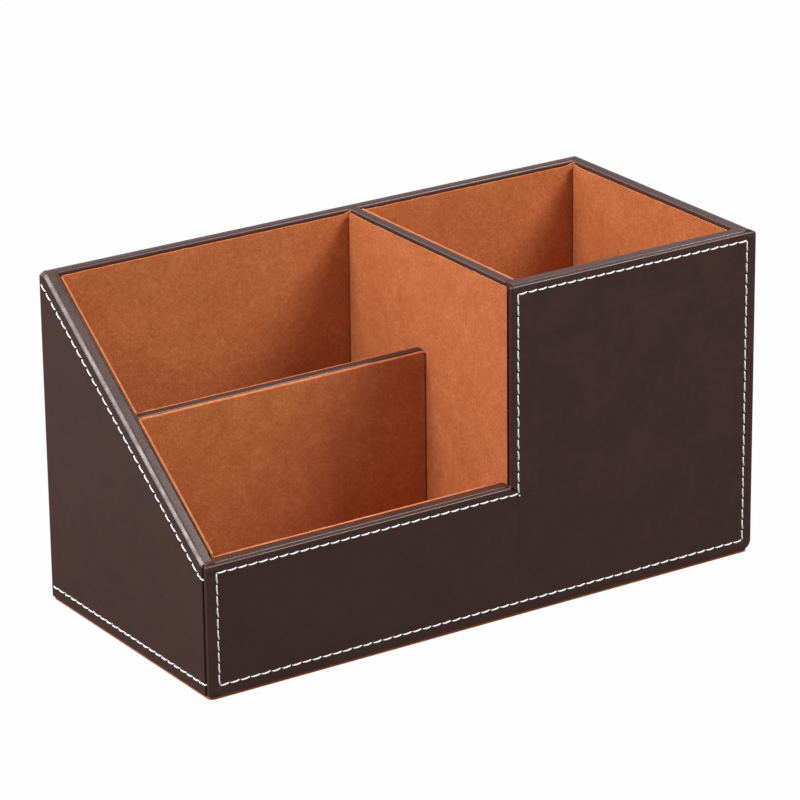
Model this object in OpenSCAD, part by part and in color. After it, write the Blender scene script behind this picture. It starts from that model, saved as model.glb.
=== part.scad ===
// Desk organizer: a leather-covered board box with three open, suede-lined compartments.
// Millimetres. +X is right, +Y is back, +Z is up; the origin is the middle of the underside.

/* [Overall size] */
// Width, left to right
organizer_w = 200; // [160:1:260]
// Depth, front to back
organizer_d = 95; // [84:1:140]
// Height of the back, the right side and the high part of the front
organizer_h = 107; // [90:1:140]
// Height of the low part of the front
front_low_h = 43; // [32:1:60]

/* [Compartments] */
// Distance from the left face to the step in the front
step_from_left = 108; // [80:1:130]
// Distance from the front face to the front of the cross divider
cross_from_front = 46; // [36:1:56]
// Distance from the front face to the foot of the sloping left edge
slope_foot = 3.2; // [2:0.1:12]
// Drop of the cross divider's top below the sloping edge beside it
cross_drop = 2.1; // [1:0.1:12]
// Gap between the free end of the cross divider and the lining beside it
cross_end_gap = 0.3; // [0.1:0.1:0.8]

/* [Boards] */
// Thickness of the outer boards and the bottom board
board_t = 3; // [2:0.1:4]
// Thickness of the two divider boards
divider_board_t = 2; // [1.5:0.1:4]
// Thickness of the stiff card inside the front panel
panel_card_t = 0.5; // [0.4:0.1:1.5]

/* [Leather] */
// Thickness of the leather
leather_t = 0.9; // [0.6:0.1:1.4]
// Thickness of the leather where it is thinned and turned in
turn_in_t = 0.4; // [0.3:0.1:0.6]
// Depth of the turned-in leather below the top edges
turn_in_depth = 12; // [8:1:20]
// Width of the leather turned under the bottom
hem_w = 12; // [8:1:20]
// Radius of the two upright back corners
corner_r = 2; // [1.6:0.1:6]

/* [Front panel] */
// Radius of the panel's top right corner
panel_top_r = 1.5; // [1:0.1:5]
// Radius of the panel's bottom right corner
panel_bottom_r = 3; // [1:0.1:6]

/* [Lining] */
// Thickness of the suede-faced card on the walls
lining_t = 1.4; // [0.8:0.1:2]
// Thickness of the suede-faced card on the floors
floor_lining_t = 1.4; // [0.8:0.1:2]
// Thickness of the bare suede round the free end of the cross divider
end_suede_t = 0.6; // [0.4:0.1:1.2]
// Drop of the upright linings below the rim
lining_drop = 1.3; // [0.3:0.1:3]
// Drop of the linings whose top edges show as a bright strip
edge_drop = 0.3; // [0.2:0.1:1]
// Groove between the lining on the step and the front panel
step_groove = 0.5; // [0.3:0.1:1.2]

/* [Base pad] */
// Thickness of the suede pad under the box
pad_t = 1; // [0.6:0.1:3]
// Distance of the pad's edge from the outer faces
pad_inset = 0.3; // [0:0.1:2]

/* [Stitching] */
// Length of one step of the stitching
stitch_pitch = 3.6; // [2.5:0.1:6]
// Visible length of one stitch
stitch_len = 2.9; // [1.5:0.1:4]
// Width of the thread
thread_w = 0.6; // [0.4:0.1:1]
// Distance of the rows from the top edges of the front panel
panel_stitch_top = 2.9; // [2:0.1:8]
// Distance of the row from the panel's left and right edges
panel_stitch_side = 3.5; // [2.5:0.1:8]
// Distance of the row from the panel's edge at the step
panel_stitch_step = 2.5; // [2:0.1:8]
// Distance of the row from the top edge of the sides and the back
side_stitch_top = 4.2; // [3:0.1:10]
// Height of the lowest rows above the table
stitch_bottom = 4.4; // [3.5:0.1:10]

/* [Hidden] */
$fn = 48;

// Colours, as on the real thing
leather_colour = "#433231";
suede_colour = "#b8683a";
board_colour = "#a98a64";
thread_colour = "#f0ece6";

// Outer faces of the box
left_x = -organizer_w / 2;
right_x = organizer_w / 2;
front_y = -organizer_d / 2;
back_y = organizer_d / 2;

// Walls, from the outside in: leather, board, turned-in leather, lining
panel_t = leather_t + panel_card_t;
box_front_y = front_y + panel_t;
front_board_y = box_front_y + turn_in_t;
front_board_back_y = front_board_y + board_t;
front_rim_y = front_board_back_y + turn_in_t;
front_inner_y = front_rim_y + lining_t;
rim_w = leather_t + board_t + turn_in_t;
back_board_y = back_y - leather_t - board_t;
back_rim_y = back_y - rim_w;
back_inner_y = back_rim_y - lining_t;
left_board_x = left_x + leather_t + board_t;
left_rim_x = left_x + rim_w;
left_inner_x = left_rim_x + lining_t;
right_board_x = right_x - leather_t - board_t;
right_rim_x = right_x - rim_w;
right_inner_x = right_rim_x - lining_t;

// Heights
hem_z = pad_t;
board_z = hem_z + turn_in_t;
floor_z = board_z + board_t;
board_top_z = organizer_h - leather_t;
low_board_top_z = front_low_h - leather_t;

// Main divider, whose left lining is level with the panel's edge at the step
step_x = left_x + step_from_left;
divider_rim_x = step_x + lining_t;
divider_x = divider_rim_x + turn_in_t;
divider_right_x = divider_x + divider_board_t;
divider_rim_right_x = divider_right_x + turn_in_t;
divider_inner_right_x = divider_rim_right_x + lining_t;

// Sloping left edge
slope_back_y = back_rim_y;
slope_front_y = front_y + slope_foot;
slope_angle = atan2(organizer_h - front_low_h, slope_back_y - slope_front_y);
function slope_z(y) = front_low_h + (y - slope_front_y) * tan(slope_angle);

// Cross divider, let into the slope between the left wall and the main divider
cross_y = front_y + cross_from_front;
cross_rim_y = cross_y + lining_t;
cross_board_y = cross_rim_y + turn_in_t;
cross_board_back_y = cross_board_y + divider_board_t;
cross_rim_back_y = cross_board_back_y + turn_in_t;
cross_back_y = cross_rim_back_y + lining_t;
cross_h = slope_z(cross_rim_y) - cross_drop;
cross_right_x = step_x - cross_end_gap;
cross_board_right_x = cross_right_x - end_suede_t;

// Margin by which a cutting block overshoots what it cuts
over = 1;

// A block between two opposite corners
module block(low, high) {
    translate(low) cube(high - low);
}

// Stands a profile drawn in Y and Z between two planes of X
module along_x(x0, x1) {
    translate([x0, 0, 0]) rotate([90, 0, 90]) linear_extrude(x1 - x0) children();
}

// Stands a profile drawn in X and Z between two planes of Y
module along_y(y0, y1) {
    translate([0, y1, 0]) rotate([90, 0, 0]) linear_extrude(y1 - y0) children();
}

// The left wall's side view from y0 to y1 and up from z0, its top edge lowered squarely by drop
module slope_profile(drop, y0, y1, z0) {
    shift = drop * tan(slope_angle / 2);
    difference() {
        translate([y0, z0]) square([y1 - y0, organizer_h - drop - z0]);
        polygon([
            [slope_back_y + shift, organizer_h - drop],
            [slope_front_y + shift, front_low_h - drop],
            [front_y - over, front_low_h - drop],
            [front_y - over, organizer_h + over],
            [slope_back_y + shift, organizer_h + over]
        ]);
    }
}

// Plan of the box behind the front panel, inset from its outer faces, its back corners rounded
module box_plan(inset) {
    radius = corner_r - inset;
    half_w = organizer_w / 2 - inset;
    end_y = back_y - inset;
    translate([-half_w, box_front_y]) square([2 * half_w, end_y - radius - box_front_y]);
    translate([-half_w + radius, box_front_y]) square([2 * (half_w - radius), end_y - box_front_y]);
    for (side = [-1, 1]) translate([side * (half_w - radius), end_y - radius]) circle(radius);
}

// Front view of the stepped front wall: its ends, its step and its two top edges are given
module stepped_profile(x0, x1, x_step, low_z, high_z, z0) {
    polygon([[x0, z0], [x1, z0], [x1, high_z], [x_step, high_z], [x_step, low_z], [x0, low_z]]);
}

// Cuts a square corner at [x, z] to a radius; dir_x and dir_z point from the corner into the panel
module corner_cut(x, z, dir_x, dir_z, radius) {
    difference() {
        translate([x, z]) scale([dir_x, dir_z]) translate([-over, -over]) square(radius + over);
        translate([x + dir_x * radius, z + dir_z * radius]) circle(radius);
    }
}

// Front view of the front panel, inset from its edges
module panel_profile(inset) {
    difference() {
        stepped_profile(left_x + inset, right_x - inset, step_x + inset,
            front_low_h - inset, organizer_h - inset, pad_t + inset);
        corner_cut(right_x - inset, organizer_h - inset, -1, -1, panel_top_r - inset / 2);
        corner_cut(right_x - inset, pad_t + inset, -1, 1, panel_bottom_r - inset / 2);
    }
}

module base_pad() {
    color(suede_colour)
    linear_extrude(pad_t) {
        box_plan(pad_inset);
        translate([left_x + pad_inset, front_y + pad_inset])
            square([organizer_w - 2 * pad_inset, panel_t]);
    }
}

module bottom_board() {
    color(board_colour)
    block([left_board_x, front_board_back_y, board_z], [right_board_x, back_board_y, floor_z]);
}

module back_board() {
    color(board_colour)
    block([left_board_x, back_board_y, board_z], [right_board_x, back_y - leather_t, board_top_z]);
}

module left_side_board() {
    color(board_colour)
    intersection() {
        along_x(left_x + leather_t, left_board_x)
            slope_profile(leather_t, front_board_y, back_y - leather_t, board_z);
        linear_extrude(organizer_h) box_plan(leather_t);
    }
}

module right_side_board() {
    color(board_colour)
    intersection() {
        block([right_board_x, front_board_y, board_z], [right_x - leather_t, back_y, board_top_z]);
        linear_extrude(organizer_h) box_plan(leather_t);
    }
}

module front_board() {
    color(board_colour)
    along_y(front_board_y, front_board_back_y)
        stepped_profile(left_board_x, right_board_x, divider_x, low_board_top_z, board_top_z, board_z);
}

module main_divider_board() {
    color(board_colour)
    block([divider_x, front_rim_y, floor_z], [divider_right_x, back_rim_y, board_top_z]);
}

module cross_divider_board() {
    color(board_colour)
    block([left_rim_x, cross_board_y, floor_z],
        [cross_board_right_x, cross_board_back_y, cross_h - leather_t]);
}

// One piece of leather round the left side, the back and the right side, turned in over their top
// edges, turned under the bottom and turned round the front ends of the side boards
module side_band() {
    color(leather_colour)
    difference() {
        intersection() {
            union() {
                along_x(left_x, left_rim_x) slope_profile(0, box_front_y, back_y, hem_z);
                block([left_board_x, back_rim_y, hem_z], [right_board_x, back_y, organizer_h]);
                block([right_rim_x, box_front_y, hem_z], [right_x, back_y, organizer_h]);
                block([left_x, box_front_y, hem_z], [right_x, back_y, board_z]);
            }
            linear_extrude(organizer_h) box_plan(0);
        }
        left_side_board();
        back_board();
        right_side_board();
        // Inside of the walls below the turned-in leather
        along_x(left_board_x, left_rim_x + over)
            slope_profile(turn_in_depth, front_y - over, back_board_y, board_z);
        block([left_board_x, back_rim_y - over, board_z],
            [right_board_x, back_board_y, organizer_h - turn_in_depth]);
        block([right_rim_x - over, front_y - over, board_z],
            [right_board_x, back_board_y, organizer_h - turn_in_depth]);
        // Room for the front wall and the open middle of the bottom
        block([left_board_x, front_y - over, board_z],
            [right_board_x, front_rim_y, organizer_h + over]);
        block([left_x + hem_w, front_y - over, hem_z - over],
            [right_x - hem_w, back_y - hem_w, board_z + over]);
    }
}

// Leather over the front board's top edges and down the step, under the front panel
module front_rim_wrap() {
    color(leather_colour)
    difference() {
        along_y(box_front_y, front_rim_y)
            stepped_profile(left_board_x, right_board_x, divider_rim_x, front_low_h, organizer_h, board_z);
        front_board();
        along_y(front_y - over, front_rim_y + over)
            stepped_profile(left_board_x - over, right_board_x + over, divider_x + turn_in_depth,
                front_low_h - turn_in_depth, organizer_h - turn_in_depth, board_z - over);
    }
}

module panel_card() {
    color(board_colour)
    along_y(front_y + leather_t, box_front_y) panel_profile(leather_t);
}

module panel_leather() {
    color(leather_colour)
    difference() {
        along_y(front_y, box_front_y) panel_profile(0);
        along_y(front_y + leather_t, box_front_y + over) panel_profile(leather_t);
    }
}

module main_divider_wrap() {
    color(leather_colour)
    difference() {
        block([divider_rim_x, front_rim_y, organizer_h - turn_in_depth],
            [divider_rim_right_x, back_rim_y, organizer_h]);
        main_divider_board();
    }
}

module cross_divider_wrap() {
    color(leather_colour)
    difference() {
        block([left_rim_x, cross_rim_y, cross_h - turn_in_depth],
            [cross_board_right_x, cross_rim_back_y, cross_h]);
        cross_divider_board();
    }
}

module back_lining_left() {
    color(suede_colour)
    block([left_inner_x, back_inner_y, floor_z],
        [divider_rim_x, back_rim_y, organizer_h - lining_drop]);
}

module back_lining_right() {
    color(suede_colour)
    block([divider_rim_right_x, back_inner_y, floor_z],
        [right_rim_x, back_rim_y, organizer_h - lining_drop]);
}

module left_lining_rear() {
    color(suede_colour)
    along_x(left_rim_x, left_inner_x)
        slope_profile(edge_drop, cross_rim_back_y, back_rim_y, floor_z);
}

module left_lining_front() {
    color(suede_colour)
    along_x(left_rim_x, left_inner_x)
        slope_profile(edge_drop, front_rim_y, cross_rim_y, floor_z);
}

module front_lining_left() {
    color(suede_colour)
    block([left_inner_x, front_rim_y, floor_z], [step_x, front_inner_y, front_low_h - edge_drop]);
}

module front_lining_right() {
    color(suede_colour)
    block([divider_rim_right_x, front_rim_y, floor_z],
        [right_inner_x, front_inner_y, organizer_h - lining_drop]);
}

module right_lining() {
    color(suede_colour)
    block([right_inner_x, front_rim_y, floor_z],
        [right_rim_x, back_inner_y, organizer_h - lining_drop]);
}

// Runs forward over the low front rim and covers the step's edge up to the front panel
module divider_lining_left() {
    color(suede_colour)
    along_x(step_x, divider_rim_x)
        polygon([
            [front_rim_y, floor_z],
            [back_inner_y, floor_z],
            [back_inner_y, organizer_h - lining_drop],
            [box_front_y + step_groove, organizer_h - lining_drop],
            [box_front_y + step_groove, front_low_h],
            [front_rim_y, front_low_h]
        ]);
}

module divider_lining_right() {
    color(suede_colour)
    block([divider_rim_right_x, front_inner_y, floor_z],
        [divider_inner_right_x, back_inner_y, organizer_h - edge_drop]);
}

// Its suede turns round the free end of the divider
module cross_lining_front() {
    color(suede_colour) {
        block([left_inner_x, cross_y, floor_z], [cross_right_x, cross_rim_y, cross_h - edge_drop]);
        block([cross_board_right_x, cross_y, floor_z],
            [cross_right_x, cross_rim_back_y, cross_h - edge_drop]);
    }
}

module cross_lining_rear() {
    color(suede_colour)
    block([left_inner_x, cross_rim_back_y, floor_z],
        [cross_right_x, cross_back_y, cross_h - edge_drop]);
}

// A floor lining between two corners of a compartment
module floor_lining(x0, y0, x1, y1) {
    color(suede_colour)
    block([x0, y0, floor_z], [x1, y1, floor_z + floor_lining_t]);
}

module floor_lining_rear() {
    floor_lining(left_inner_x, cross_back_y, step_x, back_inner_y);
}

module floor_lining_front() {
    floor_lining(left_inner_x, front_inner_y, step_x, cross_y);
}

module floor_lining_right() {
    floor_lining(divider_inner_right_x, front_inner_y, right_inner_x, back_inner_y);
}

// One stitch, a half-round bar along X on the plane z = 0
module stitch() {
    translate([-stitch_len / 2, 0, 0])
    rotate([90, 0, 90])
    linear_extrude(stitch_len)
    difference() {
        circle(d = thread_w);
        translate([-thread_w, -thread_w]) square([2 * thread_w, thread_w]);
    }
}

// A row of stitches from p to q in the plane z = 0
module stitch_row(p, q) {
    run = norm(q - p);
    count = round(run / stitch_pitch);
    translate([p[0], p[1], 0])
    rotate(atan2(q[1] - p[1], q[0] - p[0]))
    for (i = [0:count - 1]) translate([(i + 0.5) * run / count, 0, 0]) stitch();
}

// Each plane takes a drawing of [along, up] onto one outer face of the box
module on_front() {
    translate([0, front_y, 0]) rotate([90, 0, 0]) children();
}

module on_left() {
    translate([left_x, 0, 0]) rotate([90, 0, -90]) children();
}

module on_right() {
    translate([right_x, 0, 0]) rotate([90, 0, 90]) children();
}

module on_back() {
    translate([0, back_y, 0]) rotate([90, 0, 180]) children();
}

// One closed row round the front panel, a stitch in from every edge
module panel_stitching() {
    left = left_x + panel_stitch_side;
    right = right_x - panel_stitch_side;
    step = step_x + panel_stitch_step;
    low = front_low_h - panel_stitch_top;
    high = organizer_h - panel_stitch_top;
    corners = [[left, stitch_bottom], [right, stitch_bottom], [right, high], [step, high],
        [step, low], [left, low]];
    color(thread_colour)
    on_front()
        for (i = [0:len(corners) - 1]) stitch_row(corners[i], corners[(i + 1) % len(corners)]);
}

// Upper row: down the slope, and level along the back and the right side
module rim_stitching() {
    level = organizer_h - side_stitch_top;
    below_slope = side_stitch_top / cos(slope_angle);
    back_end = back_y - corner_r;
    color(thread_colour) {
        on_left()
            stitch_row([-back_end, slope_z(back_end) - below_slope],
                [-box_front_y - leather_t, slope_z(box_front_y + leather_t) - below_slope]);
        on_back() stitch_row([left_x + corner_r, level], [right_x - corner_r, level]);
        on_right() stitch_row([box_front_y + leather_t, level], [back_end, level]);
    }
}

// Lower row along the left side, the back and the right side
module base_stitching() {
    front_end = box_front_y + leather_t;
    back_end = back_y - corner_r;
    color(thread_colour) {
        on_left() stitch_row([-back_end, stitch_bottom], [-front_end, stitch_bottom]);
        on_back() stitch_row([left_x + corner_r, stitch_bottom], [right_x - corner_r, stitch_bottom]);
        on_right() stitch_row([front_end, stitch_bottom], [back_end, stitch_bottom]);
    }
}

base_pad();
bottom_board();
back_board();
left_side_board();
right_side_board();
front_board();
main_divider_board();
cross_divider_board();
side_band();
front_rim_wrap();
panel_card();
panel_leather();
main_divider_wrap();
cross_divider_wrap();
back_lining_left();
back_lining_right();
left_lining_rear();
left_lining_front();
front_lining_left();
front_lining_right();
right_lining();
divider_lining_left();
divider_lining_right();
cross_lining_front();
cross_lining_rear();
floor_lining_rear();
floor_lining_front();
floor_lining_right();
panel_stitching();
rim_stitching();
base_stitching();
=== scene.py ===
"""A desk organizer in stitched brown leather with suede-lined compartments, dressed over its frame."""

import logging
import math
import random
from contextlib import contextmanager
from dataclasses import dataclass, field
from enum import Enum
from typing import Callable, Iterator, Optional, Union

import bmesh
import bpy
from bmesh.types import BMEdge, BMFace, BMVert
from mathutils import Matrix, Vector


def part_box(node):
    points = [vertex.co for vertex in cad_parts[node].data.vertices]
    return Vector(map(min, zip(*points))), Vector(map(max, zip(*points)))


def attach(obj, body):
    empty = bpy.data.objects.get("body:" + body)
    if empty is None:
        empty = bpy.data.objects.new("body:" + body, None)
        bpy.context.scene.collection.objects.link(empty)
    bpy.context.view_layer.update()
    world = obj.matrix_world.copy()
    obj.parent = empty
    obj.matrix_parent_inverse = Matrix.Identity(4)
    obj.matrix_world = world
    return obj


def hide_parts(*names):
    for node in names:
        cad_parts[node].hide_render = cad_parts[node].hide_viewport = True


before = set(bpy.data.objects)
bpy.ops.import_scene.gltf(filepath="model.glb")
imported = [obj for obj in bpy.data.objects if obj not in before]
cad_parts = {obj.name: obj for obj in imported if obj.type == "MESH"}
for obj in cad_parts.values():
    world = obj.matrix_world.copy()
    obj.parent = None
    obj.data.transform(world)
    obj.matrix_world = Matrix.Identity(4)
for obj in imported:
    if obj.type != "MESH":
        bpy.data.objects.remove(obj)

LOG = logging.getLogger("desk_organizer")
MM = 0.001
TOLERANCE = 0.01 * MM
MERGE = TOLERANCE / 10
CUT_GAP = 0.05 * MM
CUT_SLACK = 0.02 * MM
UP = Vector((0, 0, 1))
WHITE = (1.0, 1.0, 1.0, 1.0)
RIDGE_PROFILE = 0.36
# How far a normal or a direction reaches along an axis: hardly, and almost fully.
ACROSS, FACING = 0.1, 0.9
Colour = tuple[float, float, float]


class Axis(Enum):
    """The three axes of the frame."""

    X = 0
    Y = 1
    Z = 2


class Pick(Enum):
    """What an edit-mode selection is made of."""

    POINTS = "VERT"
    EDGES = "EDGE"
    FACES = "FACE"


class Slot(Enum):
    """The record's material slots."""

    LEATHER = "leather_brown"
    SUEDE = "suede_tan"
    BOARD = "board"
    CARD = "card"
    THREAD = "thread_cream"


class Signal:
    """An output socket whose arithmetic adds Math nodes to its material."""

    def __init__(self, paint: "Paint", socket: bpy.types.NodeSocket) -> None:
        """Keeps the material's paint and the socket."""
        self.paint = paint
        self.socket = socket

    def other(self, name: str) -> "Signal":
        """Another output of the same node, by its name."""
        return Signal(self.paint, self.socket.node.outputs[name])

    def __add__(self, value: "Value") -> "Signal":
        """This plus a value."""
        return self.paint.math("ADD", self, value)

    def __radd__(self, value: "Value") -> "Signal":
        """A value plus this."""
        return self.paint.math("ADD", value, self)

    def __mul__(self, value: "Value") -> "Signal":
        """This times a value."""
        return self.paint.math("MULTIPLY", self, value)

    def __rmul__(self, value: "Value") -> "Signal":
        """A value times this."""
        return self.paint.math("MULTIPLY", value, self)


Value = Union[float, Signal]


class Paint:
    """Builds the nodes of one material, or of the world."""

    def __init__(self, name: str, world: bool = False) -> None:
        """Starts an empty material or world.

        Args:
            name: Its name.
            world: Whether it is a world.
        """
        self.owner = (bpy.data.worlds if world else bpy.data.materials).new(name)
        self.owner.use_nodes = True
        self.end_kind = "ShaderNodeOutputWorld" if world else "ShaderNodeOutputMaterial"
        self.tree = self.owner.node_tree
        self.tree.nodes.clear()

    def node(self, kind: str, settings: dict, inputs: dict, output: Union[int, str] = 0) -> Signal:
        """Adds a node.

        Args:
            kind: The node's type.
            settings: Its settings.
            inputs: Values or signals by socket name or number.
            output: The output socket to return.

        Returns:
            The chosen output.
        """
        made = self.tree.nodes.new(kind)
        for name, value in settings.items():
            setattr(made, name, value)
        for name, value in inputs.items():
            if isinstance(value, Signal):
                self.tree.links.new(value.socket, made.inputs[name])
            else:
                made.inputs[name].default_value = value
        return Signal(self, made.outputs[output])

    def math(self, operation: str, a: Value, b: Value = 0.0) -> Signal:
        """A Math node on two values."""
        return self.node("ShaderNodeMath", {"operation": operation}, {0: a, 1: b})

    def place(self) -> Signal:
        """Object coordinates in millimetres."""
        where = self.node("ShaderNodeTexCoord", {}, {}, "Object")
        return self.node("ShaderNodeVectorMath", {"operation": "SCALE"}, {0: where, "Scale": 1 / MM})

    def noise(self, where: Signal, size: float, detail: float = 3.0, warp: float = 0.0) -> Signal:
        """Soft noise from 0 to 1.

        Args:
            where: The coordinates, in millimetres.
            size: The size of its patches, in millimetres.
            detail: How many finer layers it has.
            warp: How far it is distorted.

        Returns:
            The noise.
        """
        inputs = {"Vector": where, "Scale": 1 / size, "Detail": detail, "Distortion": warp}
        return self.node("ShaderNodeTexNoise", {}, inputs)

    def spread(
        self, value: Signal, low: float, high: float, to_low: float = 0.0, to_high: float = 1.0
    ) -> Signal:
        """Maps a value from one range to another and clamps it there.

        Args:
            value: The value.
            low: What maps to to_low.
            high: What maps to to_high.
            to_low: One end of the result.
            to_high: The other end.

        Returns:
            The mapped value.
        """
        ends = {0: value, 1: low, 2: high, 3: to_low, 4: to_high}
        return self.node("ShaderNodeMapRange", {"interpolation_type": "SMOOTHSTEP"}, ends)

    def blend(self, share: Value, a: Union[Colour, Signal], b: Union[Colour, Signal]) -> Signal:
        """Mixes two colours.

        Args:
            share: How much of the second colour there is.
            a: The first colour.
            b: The second colour.

        Returns:
            The mixed colour.
        """
        ends = {0: share, 6: _rgba(a), 7: _rgba(b)}
        return self.node("ShaderNodeMix", {"data_type": "RGBA"}, ends, 2)

    def bump(self, height: Signal, depth: float) -> Signal:
        """A normal from a height.

        Args:
            height: Height from 0 to 1.
            depth: What a height of 1 is, in millimetres.

        Returns:
            The normal.
        """
        return self.node("ShaderNodeBump", {}, {"Height": height, "Distance": depth * MM})

    def end(self, shader: Signal) -> Union[bpy.types.Material, bpy.types.World]:
        """Ends the nodes in a shader.

        Args:
            shader: The shader.

        Returns:
            The finished material or world.
        """
        output = self.tree.nodes.new(self.end_kind)
        self.tree.links.new(shader.socket, output.inputs["Surface"])
        return self.owner

    def surface(self, inputs: dict) -> bpy.types.Material:
        """Ends the material in one surface shader with these values or signals."""
        return self.end(self.node("ShaderNodeBsdfPrincipled", {}, inputs))


def _rgba(colour: Union[Colour, Signal]) -> Union[tuple[float, ...], Signal]:
    """A colour with its alpha, or a signal as it is."""
    return colour if isinstance(colour, Signal) else (*colour, 1.0)


@dataclass(frozen=True)
class Leather:
    """Smooth dark brown leather with a faint grain and a soft sheen."""

    slot: Slot = Slot.LEATHER
    tone: Colour = (0.0500, 0.0226, 0.0178)
    dark: Colour = (0.0442, 0.0202, 0.0160)
    warm: Colour = (0.0558, 0.0250, 0.0193)
    patch_mm: float = 16.0
    fine_mm: float = 3.0
    pore_mm: float = 0.35
    grain_mm: float = 0.9
    grain_depth_mm: float = 0.024
    roughness: float = 0.33
    gloss: float = 0.36

    def build(self) -> bpy.types.Material:
        """Mixes the leather's colour, grain and sheen.

        Returns:
            The material.
        """
        paint = Paint(self.slot.value)
        where = paint.place()
        patches = paint.noise(where, self.patch_mm, 4.0, 0.6)
        fine = paint.noise(where, self.fine_mm, 3.0, 0.3)
        cells = {"Vector": where, "Scale": 1 / self.grain_mm, "Randomness": 1.0}
        grain = paint.node("ShaderNodeTexVoronoi", {"feature": "SMOOTH_F1"}, cells, "Distance")
        pores = paint.noise(where, self.pore_mm, 2.0)
        tone = paint.blend(paint.spread(patches, 0.35, 0.65), self.dark, self.tone)
        tone = paint.blend(paint.spread(fine, 0.45, 0.7, 0.0, 0.45), tone, self.warm)
        height = grain * 0.7 + pores * 0.3 + fine * 0.8
        rough = paint.spread(fine + patches, 0.7, 1.3, self.roughness - 0.05, self.roughness + 0.07)
        return paint.surface(
            {
                "Base Color": tone,
                "Roughness": rough,
                "Normal": paint.bump(height, self.grain_depth_mm),
                "Specular IOR Level": self.gloss,
            }
        )


@dataclass(frozen=True)
class Suede:
    """Tan suede with a soft nap and brushed patches."""

    slot: Slot = Slot.SUEDE
    tone: Colour = (0.442, 0.129, 0.0415)
    dark: Colour = (0.385, 0.104, 0.0315)
    light: Colour = (0.510, 0.163, 0.0565)
    wide_mm: float = 26.0
    cloud_mm: float = 9.0
    patch_mm: float = 2.2
    nap_mm: float = 0.8
    nap_depth_mm: float = 0.10
    gloss: float = 0.12
    sheen: float = 0.16
    sheen_roughness: float = 0.45
    sheen_tint: Colour = (1.0, 0.72, 0.52)

    def build(self) -> bpy.types.Material:
        """Mixes the suede's brushed patches and its nap.

        Returns:
            The material.
        """
        paint = Paint(self.slot.value)
        where = paint.place()
        wide = paint.noise(where, self.wide_mm, 2.0, 0.2)
        patches = paint.noise(where, self.patch_mm, 3.0, 0.5)
        nap = paint.noise(where, self.nap_mm, 3.0, 0.4)
        clouds = paint.noise(where, self.cloud_mm, 2.0, 0.4)
        mixed = patches * 0.28 + clouds * 0.2 + wide * 0.1 + nap * 0.42
        tone = paint.blend(paint.spread(mixed, 0.40, 0.52), self.dark, self.tone)
        tone = paint.blend(paint.spread(mixed, 0.50, 0.62), tone, self.light)
        return paint.surface(
            {
                "Base Color": tone,
                "Roughness": paint.spread(nap, 0.3, 0.7, 0.86, 0.98),
                "Normal": paint.bump(nap + patches * 0.5, self.nap_depth_mm),
                "Specular IOR Level": self.gloss,
                "Sheen Weight": self.sheen,
                "Sheen Roughness": self.sheen_roughness,
                "Sheen Tint": _rgba(self.sheen_tint),
            }
        )


@dataclass(frozen=True)
class Thread:
    """Waxed off-white thread, twisted from strands."""

    slot: Slot = Slot.THREAD
    tone: Colour = (0.95, 0.93, 0.90)
    # shade is the colour painted into the valleys between the twisted strands: painted shade, not a second
    # dye
    shade: Colour = (0.90, 0.87, 0.84)
    strands: float = 3.0
    turns: float = 7.0
    fibre_mm: float = 0.25
    twist_depth_mm: float = 0.03
    gloss: float = 0.5

    def build(self) -> bpy.types.Material:
        """Mixes the thread's twist along its own map, with painted shade in the valleys of the twist.

        Returns:
            The material.
        """
        paint = Paint(self.slot.value)
        own_map = paint.node("ShaderNodeTexCoord", {}, {}, "UV")
        across = paint.node("ShaderNodeSeparateXYZ", {}, {0: own_map}, "X")
        phase = (across * self.strands + across.other("Y") * self.turns * 2.0) * math.tau
        twist = paint.math("SINE", phase) * 0.5 + 0.5
        fibre = paint.noise(paint.place(), self.fibre_mm, 2.0)
        # Where the twist dips, the colour goes to the shade colour: painted shade in the grooves, on top of
        # their bump
        groove = paint.spread(twist + fibre * 0.4, 0.1, 0.7)
        return paint.surface(
            {
                "Base Color": paint.blend(groove, self.shade, self.tone),
                "Roughness": paint.spread(fibre, 0.3, 0.7, 0.5, 0.68),
                "Normal": paint.bump(groove, self.twist_depth_mm),
                "Specular IOR Level": self.gloss,
            }
        )


@dataclass(frozen=True)
class PressedBoard:
    """Pressed fibre board, or card, with short fibres."""

    slot: Slot
    tone: Colour
    dark: Colour
    fibre_mm: float
    patch_mm: float = 12.0
    fibre_depth_mm: float = 0.08

    def build(self) -> bpy.types.Material:
        """Mixes the board's fibres and specks.

        Returns:
            The material.
        """
        paint = Paint(self.slot.value)
        where = paint.place()
        fibres = paint.noise(where, self.fibre_mm, 5.0, 2.2)
        patches = paint.noise(where, self.patch_mm, 2.0)
        tone = paint.blend(paint.spread(fibres + patches * 0.4, 0.5, 0.9), self.dark, self.tone)
        return paint.surface(
            {
                "Base Color": tone,
                "Roughness": paint.spread(fibres, 0.3, 0.7, 0.72, 0.9),
                "Normal": paint.bump(fibres, self.fibre_depth_mm),
            }
        )


@dataclass(frozen=True)
class StudioFloor:
    """Pale floor that the camera sees as nearly plain white, with a faint shadow."""

    tone: Colour = (0.11, 0.11, 0.11)
    darker: float = 0.99
    speck_mm: float = 900.0
    glow: float = 1.03
    whitened: float = 0.95
    mirrored: float = 0.05

    def build(self) -> bpy.types.Material:
        """Mixes a diffuse floor with white for the camera's own rays.

        Returns:
            The material.
        """
        paint = Paint("studio_floor")
        speck = paint.spread(paint.noise(paint.place(), self.speck_mm, 1.0), 0.3, 0.7)
        shade = tuple(c * self.darker for c in self.tone)
        diffuse = paint.node("ShaderNodeBsdfDiffuse", {}, {"Color": paint.blend(speck, shade, self.tone)})
        white = paint.node("ShaderNodeEmission", {}, {"Color": WHITE, "Strength": self.glow})
        seen = paint.node("ShaderNodeLightPath", {}, {}, "Is Camera Ray")
        glossy = seen.other("Is Glossy Ray")
        share = paint.math("MAXIMUM", seen * self.whitened, glossy * self.mirrored)
        return paint.end(paint.node("ShaderNodeMixShader", {}, {0: share, 1: diffuse, 2: white}))


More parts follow.
